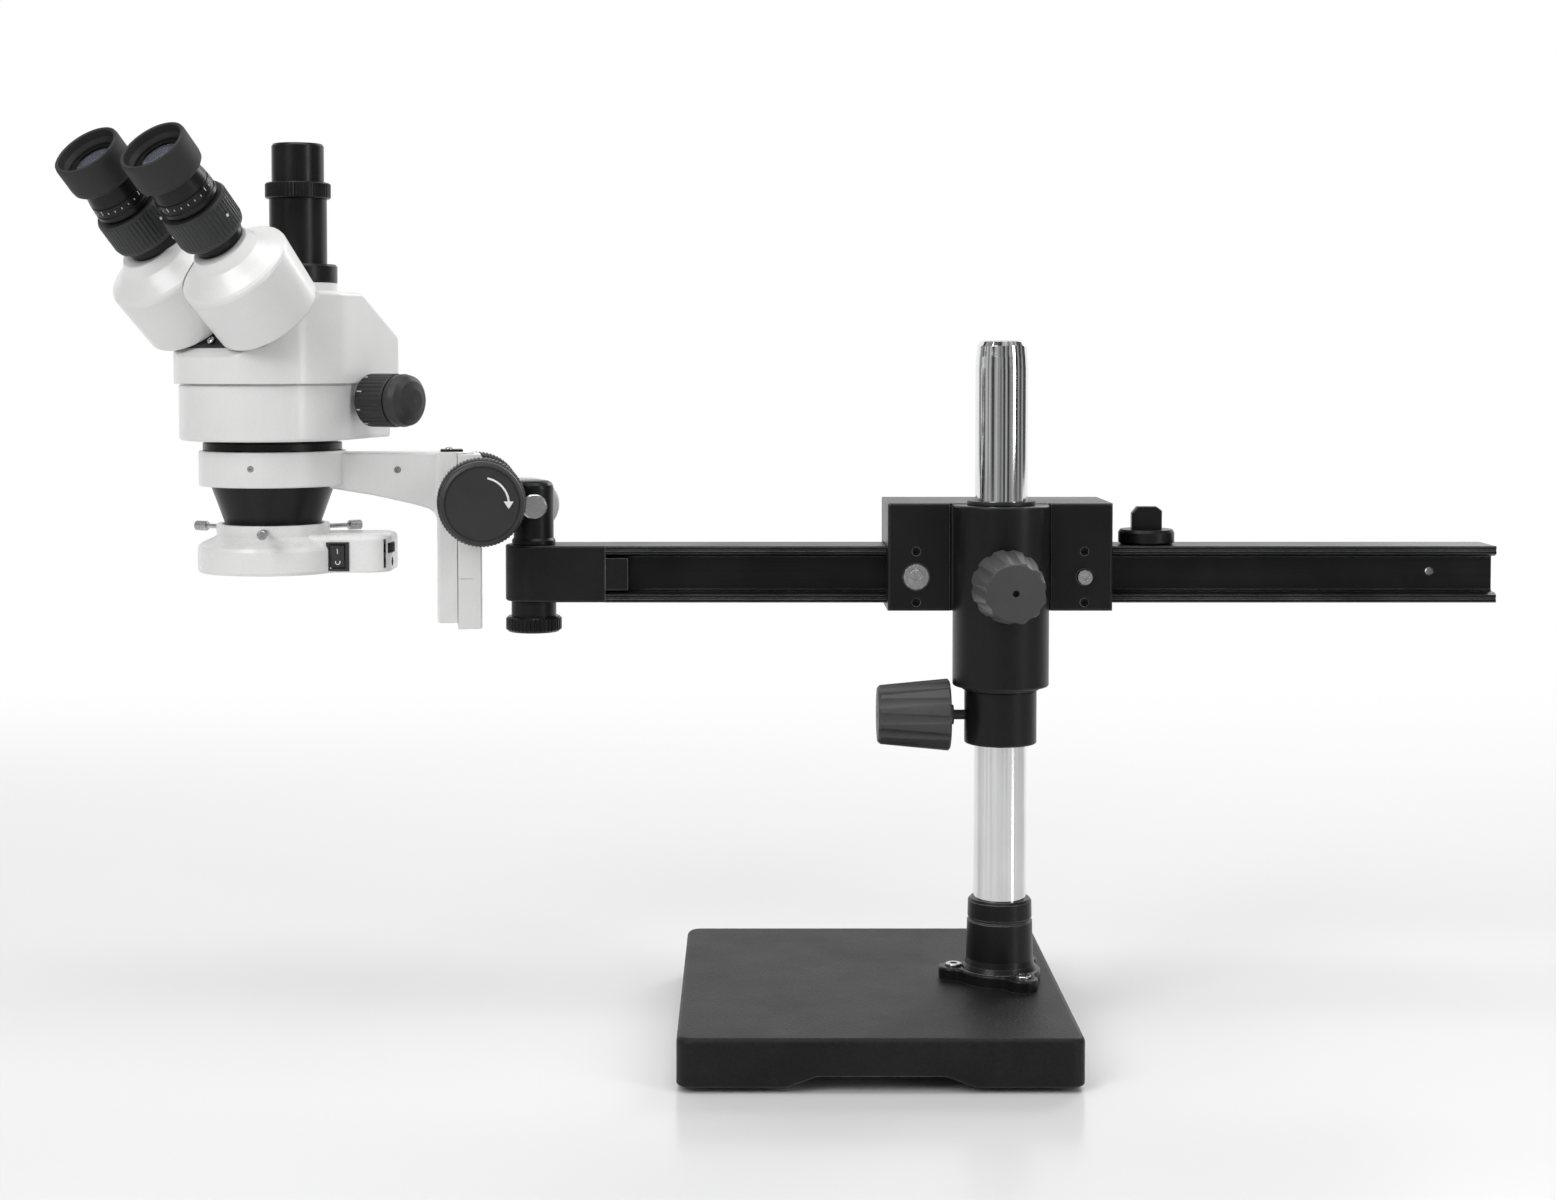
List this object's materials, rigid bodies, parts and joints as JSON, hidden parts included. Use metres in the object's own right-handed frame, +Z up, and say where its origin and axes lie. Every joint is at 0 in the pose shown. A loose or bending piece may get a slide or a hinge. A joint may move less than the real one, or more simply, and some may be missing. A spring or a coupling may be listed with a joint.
{
  "type": "trinocular stereo microscope on boom stand",
  "caption": "Trinocular zoom stereo microscope with ring light on a focusing arm, carried by a sliding boom on a pillar and heavy base.",
  "frame": {"origin": "table plane under the centre of the base plate", "axes": "+X towards the free end of the boom, away from the head; +Y towards the back, away from the front edge of the base; +Z up"},
  "size_m": [0.867, 0.254, 0.5466],
  "materials": {
    "cast_iron_black": "black powder coat",
    "black_enamel": "black satin enamel on castings",
    "boom_black": "black anodised extrusion",
    "chrome": "polished chrome plate",
    "steel": "turned steel",
    "brass": "machined brass",
    "white_enamel": "white baked enamel on castings",
    "black_plastic": "moulded black plastic",
    "black_anodised": "black anodised turned parts",
    "rubber": "soft black rubber",
    "glass": "coated optical glass",
    "white_plastic": "moulded white plastic",
    "led_white": "board with clear lamps"
  },
  "bodies": {
    "stand": {"base_plate": "cast_iron_black", "base_feet": "rubber", "pillar_socket": "black_enamel", "socket_screws": "steel", "pillar": "chrome", "pillar_bolt": "steel"},
    "collar": {"safety_collar": "black_enamel"},
    "collar_lock": {"collar_knob": "black_plastic"},
    "bush": {"pillar_bush": "black_plastic"},
    "carrier": {"carrier_block": "black_enamel", "carrier_back_cover": "black_enamel", "roller_axles": "steel", "carrier_screws": "black_anodised"},
    "swivel_lock": {"carrier_knob": "black_plastic"},
    "roller_fl": {"roller_front_left": "steel"},
    "roller_fr": {"roller_front_right": "steel"},
    "roller_bl": {"roller_back_left": "steel"},
    "roller_br": {"roller_back_right": "steel"},
    "boom": {"boom_bar": "boom_black", "boom_end_block": "black_enamel"},
    "stop_knob": {"boom_stop_knob": "black_anodised"},
    "stem": {"tilt_stem": "black_anodised"},
    "stem_lock": {"stem_knob": "black_anodised"},
    "focus_frame": {"focus_body": "white_enamel", "tilt_pin": "steel"},
    "focus_drive": {"focus_shaft": "steel", "focus_knob_near": "black_plastic", "focus_knob_far": "black_plastic", "tension_dial": "black_plastic"},
    "arm": {"focus_arm": "white_enamel", "focus_rack": "brass", "arm_set_screws": "steel"},
    "head": {"objective_cone": "black_anodised", "head_lower_shell": "white_enamel", "head_upper_shell": "white_enamel", "prism_deck": "black_anodised", "objective_lenses": "glass", "photo_tube": "black_anodised"},
    "tube_ring": {"photo_tube_ring": "black_anodised"},
    "zoom_drive": {"zoom_knob_near": "black_plastic", "zoom_knob_far": "black_plastic", "zoom_shaft": "steel"},
    "zoom_lens": {"zoom_carriage": "black_anodised"},
    "eye_near": {"prism_housing_near": "white_enamel", "prism_near": "glass", "eyepiece_near": "black_anodised", "eyecup_near": "rubber", "eye_lens_near": "glass"},
    "eye_far": {"prism_housing_far": "white_enamel", "prism_far": "glass", "eyepiece_far": "black_anodised", "eyecup_far": "rubber", "eye_lens_far": "glass"},
    "diopter_near": {"diopter_ring_near": "black_plastic"},
    "diopter_far": {"diopter_ring_far": "black_plastic"},
    "ring_light": {"ring_light_body": "white_plastic", "led_ring": "led_white", "light_thumb_screws": "steel"},
    "rocker": {"rocker_switch": "black_plastic"},
    "dimmer": {"dimmer_wheel": "black_plastic"}
  },
  "joints": [
    {"name": "collar_height", "type": "slide", "parent": "stand", "child": "collar", "axis": [0, 0, 1], "range_m": [-0.09, 0]},
    {"name": "collar_lock_turn", "type": "hinge", "parent": "collar", "child": "collar_lock", "pos_m": [0.0483, 0, 0.1935], "axis": [-1, 0, 0], "range_deg": [-30, 180]},
    {"name": "carrier_height", "type": "slide", "parent": "stand", "child": "bush", "axis": [0, 0, 1], "range_m": [0, 0.09]},
    {"name": "carrier_swivel", "type": "hinge", "parent": "bush", "child": "carrier", "pos_m": [0.0795, 0, 0.26], "axis": [0, 0, 1], "range_deg": [-180, 180]},
    {"name": "swivel_lock_turn", "type": "hinge", "parent": "carrier", "child": "swivel_lock", "pos_m": [0.0795, -0.0374, 0.2757], "axis": [0, -1, 0], "range_deg": [-30, 180]},
    {"name": "boom_reach", "type": "slide", "parent": "carrier", "child": "boom", "axis": [1, 0, 0], "range_m": [-0.008, 0.12]},
    {"name": "roller_fl_roll", "type": "hinge", "parent": "carrier", "child": "roller_fl", "pos_m": [0.0281, 0.0245, 0.2775], "axis": [0, 1, 0], "range_deg": [-700, 700]},
    {"name": "roller_fr_roll", "type": "hinge", "parent": "carrier", "child": "roller_fr", "pos_m": [0.1309, 0.0245, 0.2775], "axis": [0, 1, 0], "range_deg": [-700, 700]},
    {"name": "roller_bl_roll", "type": "hinge", "parent": "carrier", "child": "roller_bl", "pos_m": [0.0281, 0.0495, 0.2775], "axis": [0, 1, 0], "range_deg": [-700, 700]},
    {"name": "roller_br_roll", "type": "hinge", "parent": "carrier", "child": "roller_br", "pos_m": [0.1309, 0.0495, 0.2775], "axis": [0, 1, 0], "range_deg": [-700, 700]},
    {"name": "stop_knob_turn", "type": "hinge", "parent": "boom", "child": "stop_knob", "pos_m": [0.1743, 0.037, 0.295], "axis": [0, 0, 1], "range_deg": [-180, 180]},
    {"name": "arm_swivel", "type": "hinge", "parent": "boom", "child": "stem", "pos_m": [-0.2088, 0.037, 0.28], "axis": [0, 0, 1], "range_deg": [-90, 90]},
    {"name": "stem_lock_turn", "type": "hinge", "parent": "stem", "child": "stem_lock", "pos_m": [-0.2088, 0.037, 0.245], "axis": [0, 0, -1], "range_deg": [-30, 180]},
    {"name": "arm_tilt", "type": "hinge", "parent": "stem", "child": "focus_frame", "pos_m": [-0.2088, 0.037, 0.319], "axis": [-0.1392, 0.9903, 0], "range_deg": [0, 45]},
    {"name": "focus_travel", "type": "slide", "parent": "focus_frame", "child": "arm", "axis": [0, 0, 1], "range_m": [-0.025, 0.025]},
    {"name": "focus_turn", "type": "hinge", "parent": "focus_frame", "child": "focus_drive", "pos_m": [-0.24148, 0.03241, 0.323], "axis": [-0.1392, 0.9903, 0], "range_deg": [-300, 300]},
    {"name": "head_turn", "type": "hinge", "parent": "arm", "child": "head", "pos_m": [-0.37102, 0.0344, 0.343], "axis": [0, 0, 1], "continuous": true},
    {"name": "zoom_turn", "type": "hinge", "parent": "head", "child": "zoom_drive", "pos_m": [-0.35302, 0.06265, 0.385], "axis": [-0.8434, 0.5373, 0], "range_deg": [-75, 75]},
    {"name": "tube_ring_turn", "type": "hinge", "parent": "head", "child": "tube_ring", "pos_m": [-0.35812, 0.05464, 0.516], "axis": [0, 0, 1], "range_deg": [-120, 120]},
    {"name": "zoom_travel", "type": "slide", "parent": "head", "child": "zoom_lens", "axis": [0, 0, 1], "range_m": [-0.009, 0.009]},
    {"name": "eye_spread_near", "type": "hinge", "parent": "head", "child": "eye_near", "pos_m": [-0.37093, -0.0213, 0.42567], "axis": [0.3799, 0.5964, -0.7071], "range_deg": [0, 28]},
    {"name": "eye_spread_far", "type": "hinge", "parent": "head", "child": "eye_far", "pos_m": [-0.42153, 0.01094, 0.42567], "axis": [-0.3799, -0.5964, 0.7071], "range_deg": [0, 28]},
    {"name": "diopter_near_turn", "type": "hinge", "parent": "eye_near", "child": "diopter_near", "pos_m": [-0.39167, -0.04874, 0.49037], "axis": [-0.3799, -0.5964, 0.7071], "range_deg": [-150, 150]},
    {"name": "diopter_far_turn", "type": "hinge", "parent": "eye_far", "child": "diopter_far", "pos_m": [-0.43764, -0.01946, 0.49037], "axis": [-0.3799, -0.5964, 0.7071], "range_deg": [-150, 150]},
    {"name": "ring_light_turn", "type": "hinge", "parent": "head", "child": "ring_light", "pos_m": [-0.37102, 0.0344, 0.295], "axis": [0, 0, 1], "continuous": true},
    {"name": "rocker_tilt", "type": "hinge", "parent": "ring_light", "child": "rocker", "pos_m": [-0.32672, 0.0122, 0.2893], "axis": [1, 0, 0], "range_deg": [0, 12]},
    {"name": "dimmer_turn", "type": "hinge", "parent": "ring_light", "child": "dimmer", "pos_m": [-0.30262, 0.0254, 0.294], "axis": [0, 0, 1], "range_deg": [-135, 135]}
  ],
  "couplings": [
    {"joint": "roller_fl_roll", "follows": "boom_reach", "rad_per_m": 90.909},
    {"joint": "roller_fr_roll", "follows": "boom_reach", "rad_per_m": 90.909},
    {"joint": "roller_bl_roll", "follows": "boom_reach", "rad_per_m": 90.909},
    {"joint": "roller_br_roll", "follows": "boom_reach", "rad_per_m": 90.909},
    {"joint": "focus_turn", "follows": "focus_travel", "rad_per_m": 200},
    {"joint": "zoom_turn", "follows": "zoom_travel", "rad_per_m": 133.33},
    {"joint": "eye_spread_far", "follows": "eye_spread_near", "ratio": 1}
  ]
}
